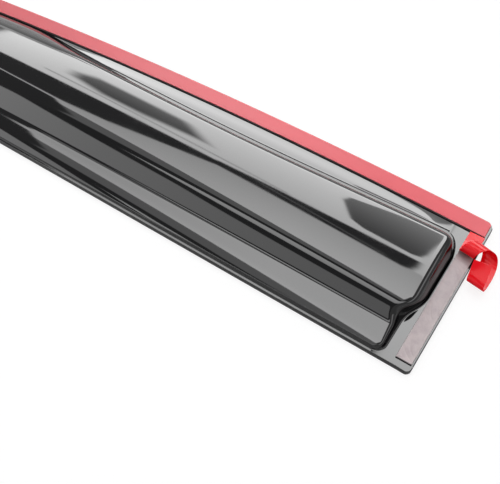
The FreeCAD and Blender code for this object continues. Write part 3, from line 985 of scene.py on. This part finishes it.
@dataclass(frozen=True)
class Panel:
    """A flat panel of the studio, as a convex outline in u and v.

    The outline turns to the left. The level may run from one value at the lowest v to
    another at the highest.
    """

    name: str
    outline: tuple[Pair, ...]
    level: float
    top_level: Optional[float] = None
    softness: float = 0.008


class LevelNodes:
    """Levels of light by direction, worked out by nodes of the world.

    The panels are stated where a mirror lying flat would see them: u and v are the X and Y
    of a direction over its Z.
    """

    def __init__(self, tree: NodeTree, least_up: float) -> None:
        """Read the direction's u and v. Its Z is held above a least value."""
        self.tree = tree
        place = add_node(tree, "TexCoord")
        way = add_node(tree, "SeparateXYZ", {0: place.outputs["Generated"]})
        up = self.worked_out("MAXIMUM", way.outputs["Z"], least_up)
        self.u = self.worked_out("DIVIDE", way.outputs["X"], up)
        self.v = self.worked_out("DIVIDE", way.outputs["Y"], up)
        self.flat = add_node(tree, "CombineXYZ", {0: self.u, 1: self.v, 2: 1.0}).outputs[0]

    def worked_out(self, operation: str, a: Any, b: Any) -> NodeSocket:
        """Result of one operation on two numbers or sockets."""
        return add_node(self.tree, "Math", {0: a, 1: b}, operation=operation).outputs[0]

    def mixed(self, share: NodeSocket, a: Any, b: Any) -> NodeSocket:
        """Mix of two levels, the second by the share."""
        return add_node(self.tree, "Mix", {0: share, 2: a, 3: b}, data_type="FLOAT").outputs[0]

    def passed(self, value: NodeSocket, edge: float, reach: float) -> NodeSocket:
        """Zero to one as a value passes an edge, eased over a reach to both sides."""
        return ranged(self.tree, value, edge - reach, edge + reach, way="SMOOTHSTEP")

    def inside(self, panel: Panel) -> NodeSocket:
        """One inside an outline: the least of the distances to the left of its sides."""
        least: Optional[NodeSocket] = None
        for (u0, v0), (u1, v1) in zip(panel.outline, panel.outline[1:] + panel.outline[:1]):
            size = math.hypot(u1 - u0, v1 - v0)
            across, along = -(v1 - v0) / size, (u1 - u0) / size
            line = {0: self.flat, 1: (across, along, -across * u0 - along * v0)}
            side = add_node(self.tree, "VectorMath", line, operation="DOT_PRODUCT").outputs["Value"]
            least = side if least is None else self.worked_out("MINIMUM", least, side)
        return self.passed(least, 0.0, panel.softness)

    def level_of(self, panel: Panel, highest: float) -> Any:
        """Level of a panel. A level that runs reaches its end at the highest v at the latest."""
        if panel.top_level is None:
            return panel.level
        heights = [v for _, v in panel.outline]
        return ranged(self.tree, self.v, min(heights), min(max(heights), highest),
                      panel.level, panel.top_level)


@dataclass(frozen=True)
class Studio:
    """Pale table, soft light and the camera at the photographed angle.

    Below the counter's edge in v the level runs with u, from the edge to the horizon the
    counter's level falls with v and rises with u, and above the horizon it is even.
    """

    place: DrawingFrame
    camera_mm: Point = (12.6, -145.3, 287.0)
    heading: Pair = (-0.5553, 0.8316)
    pitch: float = 55.0
    lens: float = 50.0
    sensor: float = 36.0
    table_size: float = 4.0
    table_gap: float = 0.0002
    table_colour: str = "#ececec"
    table_roughness: float = 0.8
    table_share: float = 0.78
    table_glow: float = 1.08
    lamp_mm: Point = (-300.0, 500.0, 1100.0)
    lamp_aim_mm: Point = (-60.0, 40.0, 0.0)
    lamp_size: float = 0.8
    lamp_power: float = 4.5
    least_up: float = 0.03
    sky: float = 0.62
    low_surround: float = 1.1
    horizon: float = 0.45
    counter_edge: float = 0.16
    counter_top: float = 0.42
    counter_levels: Pair = (8.3, 6.3)
    counter_sides: Pair = (-0.7, -0.3)
    counter_shares: Pair = (0.74, 1.0)
    front_sides: Pair = (-0.9, -0.2)
    front_levels: Pair = (3.2, 1.95)
    highest_v: float = 1.05
    panels: tuple[Panel, ...] = (
        Panel("soft box", (
            (-1.25, 0.43), (0.3, 0.43), (0.3, 2.2), (-1.6, 2.2), (-1.25, 0.95)), 8.6, 11.6),
        Panel("its dim left corner", (
            (-1.6, 0.70), (-1.225, 0.79), (-0.97, 0.915), (-1.12, 1.05), (-1.6, 1.3)), 3.3),
        Panel("its seam", ((-0.94, 0.507), (-0.36, 0.512), (-0.36, 0.522), (-0.94, 0.52)), 4.5),
        Panel("screen with round corners", (
            (-0.30, 0.80), (-0.25, 0.61), (-0.22, 0.578), (-0.128, 0.578), (-0.112, 0.60),
            (-0.106, 0.66), (-0.103, 0.97), (-0.108, 1.05), (-0.124, 1.09), (-0.16, 1.08),
            (-0.30, 0.88)), 0.9, 3.5, 0.005),
        Panel("soft dark patch", (
            (-0.90, 0.59), (-0.80, 0.545), (-0.70, 0.55), (-0.56, 0.60), (-0.64, 0.72), (-0.66, 0.74),
            (-0.89, 0.73), (-0.92, 0.66)), 0.9, 2.2, 0.03),
        Panel("right part of the gap", (
            (-0.50, 0.425), (-0.128, 0.418), (-0.112, 0.435), (-0.106, 0.48), (-0.106, 0.545),
            (-0.39, 0.50), (-0.50, 0.475)), 0.32),
        Panel("left part of the gap", (
            (-1.6, 0.31), (-0.97, 0.262), (-0.80, 0.262), (-0.70, 0.29), (-0.50, 0.415), (-0.46, 0.47),
            (-1.6, 0.42)), 0.32),
        Panel("chink in the gap", (
            (-0.42, 0.470), (-0.16, 0.434), (-0.16, 0.442), (-0.40, 0.478)), 1.5, None, 0.004),
        Panel("left part of the plinth", (
            (-1.4, -0.04), (-0.86, -0.07), (-0.84, 0.16), (-1.4, 0.16)), 0.25),
        Panel("middle of the plinth", (
            (-0.88, -0.06), (-0.52, -0.27), (-0.50, 0.16), (-0.88, 0.16)), 0.25),
        Panel("right part of the plinth", (
            (-0.53, -0.26), (0.3, -1.19), (0.3, 0.16), (-0.53, 0.16)), 0.25),
        Panel("grey rail", (
            (-1.4, 0.02), (-0.86, 0.0), (-0.52, -0.05), (0.3, 0.15), (0.3, 0.16), (-1.4, 0.16)), 1.7),
        Panel("wedge of light", ((-0.62, -0.112), (0.3, -0.59), (0.3, -0.085)), 3.0, 5.4),
        Panel("dark corner", (
            (-1.4, -0.06), (-0.80, -0.06), (-0.745, 0.05), (-0.81, 0.235), (-1.4, 0.25)), 0.3),
        Panel("right wall", ((0.3, -60.0), (60.0, -60.0), (60.0, 60.0), (0.3, 60.0)), 0.6, None, 0.05),
        Panel("light bar", ((0.9, -0.5), (1.6, -0.5), (1.6, 1.2), (0.9, 1.2)), 3.0, None, 0.05),
        Panel("front wall", ((-60.0, -60.0), (60.0, -60.0), (60.0, -1.6), (-60.0, -1.6)), 0.9, None, 0.2),
    )

    def hang(self, name: str, data: bpy.types.ID, at_mm: Point, aim: Vector) -> Object:
        """Place a camera or a lamp at a point of the drawing, aimed along a direction."""
        made = bpy.data.objects.new(name, data)
        bpy.context.scene.collection.objects.link(made)
        made.location = Vector(self.place.metres(np.array(at_mm)))
        made.rotation_euler = aim.to_track_quat("-Z", "Y").to_euler()
        return made

    def camera(self) -> None:
        """Place the camera."""
        data = bpy.data.cameras.new("camera")
        data.lens = self.lens
        data.sensor_width = self.sensor
        data.clip_start = 0.01
        pitch = math.radians(self.pitch)
        flat = math.cos(pitch)
        aim = Vector((self.heading[0] * flat, self.heading[1] * flat, -math.sin(pitch)))
        bpy.context.scene.camera = self.hang("camera", data, self.camera_mm, aim)

    def lamp(self) -> None:
        """Hang one soft lamp that gives the shadow its side."""
        data = bpy.data.lights.new("soft_lamp", "AREA")
        data.size = self.lamp_size
        data.energy = self.lamp_power
        aim = Vector(self.lamp_aim_mm) - Vector(self.lamp_mm)
        self.hang("soft_lamp", data, self.lamp_mm, aim).visible_glossy = False

    def table(self) -> None:
        """Lay the white table under the part.

        The camera sees it nearly white and keeps a share of its shading, so the shadow
        stays.
        """
        mesh = bpy.data.meshes.new("table")
        size = self.table_size
        z = CAD_BOX[0][2] - self.table_gap
        corners = [(-size, -size, z), (size, -size, z), (size, size, z), (-size, size, z)]
        mesh.from_pydata(corners, [], [(0, 1, 2, 3)])
        table = bpy.data.objects.new("table", mesh)
        bpy.context.scene.collection.objects.link(table)
        made, tree, shader = new_material("table_white")
        feed(tree, shader, {"Base Color": linear(self.table_colour), "Roughness": self.table_roughness})
        paths = add_node(tree, "LightPath")
        share = add_node(tree, "Math", {0: paths.outputs["Is Camera Ray"], 1: self.table_share},
                         operation="MULTIPLY")
        white = add_node(tree, "Emission", {"Color": WHITE, "Strength": self.table_glow})
        seen = add_node(tree, "MixShader", {
            0: share.outputs[0], 1: shader.outputs[0], 2: white.outputs[0]})
        feed(tree, tree.nodes["Material Output"], {"Surface": seen.outputs[0]})
        mesh.materials.append(made)

    def world(self) -> None:
        """Light the scene, and hang the panels that the gloss reflects.

        The camera sees white, diffuse surfaces an even sky, and glossy ones the panels.
        """
        world = bpy.data.worlds.new("studio")
        bpy.context.scene.world = world
        world.use_nodes = True
        tree = world.node_tree
        tree.nodes.clear()
        nodes = LevelNodes(tree, self.least_up)
        counter = nodes.worked_out(
            "MULTIPLY", ranged(tree, nodes.v, self.counter_edge, self.counter_top, *self.counter_levels),
            ranged(tree, nodes.u, *self.counter_sides, *self.counter_shares))
        front = ranged(tree, nodes.u, *self.front_sides, *self.front_levels)
        pattern = nodes.mixed(nodes.passed(nodes.v, self.counter_edge, 0.01), front, counter)
        pattern = nodes.mixed(nodes.passed(nodes.v, self.horizon, 0.02), pattern, self.low_surround)
        for panel in self.panels:
            level = nodes.level_of(panel, self.highest_v)
            pattern = nodes.mixed(nodes.inside(panel), pattern, level)
        paths = add_node(tree, "LightPath")
        seen = nodes.mixed(paths.outputs["Is Glossy Ray"], self.sky, pattern)
        seen = nodes.mixed(paths.outputs["Is Camera Ray"], seen, 1.0)
        sky = add_node(tree, "Background", {"Color": WHITE, "Strength": seen})
        add_node(tree, "OutputWorld", {"Surface": sky.outputs[0]})
        LOG.info("studio world: %d nodes", len(tree.nodes))

    def build(self) -> None:
        """Set up the table, the light and the camera."""
        self.camera()
        self.table()
        self.world()
        self.lamp()
        bpy.context.scene.view_settings.view_transform = "Standard"


def main() -> None:
    """Build every piece, then the studio."""
    place = DrawingFrame.from_shell()
    form = ShellForm()
    foam = AdhesiveFoam("acrylic_foam_tape").material()
    MouldedShell(form, place).build(SmokedAcrylic().material())
    strips = AdhesiveStrips(form, place)
    strips.dress_roof_tape(foam)
    strips.build_roof_liner(LinerFilm("release_film_laid").material())
    strips.build_end_adhesive(foam)
    # The peeled film is the same red film as the laid one; its brighter red is painted light on the
    # curl's sides, on top of the film's own red.
    peeled = LinerFilm("release_film_peeled_painted_light", "#fb1020", "#f00c1c", roughness=0.13, shine=0.16)
    strips.build_end_liner(peeled.material())
    Studio(place).build()


if __name__ == "__main__":
    main()
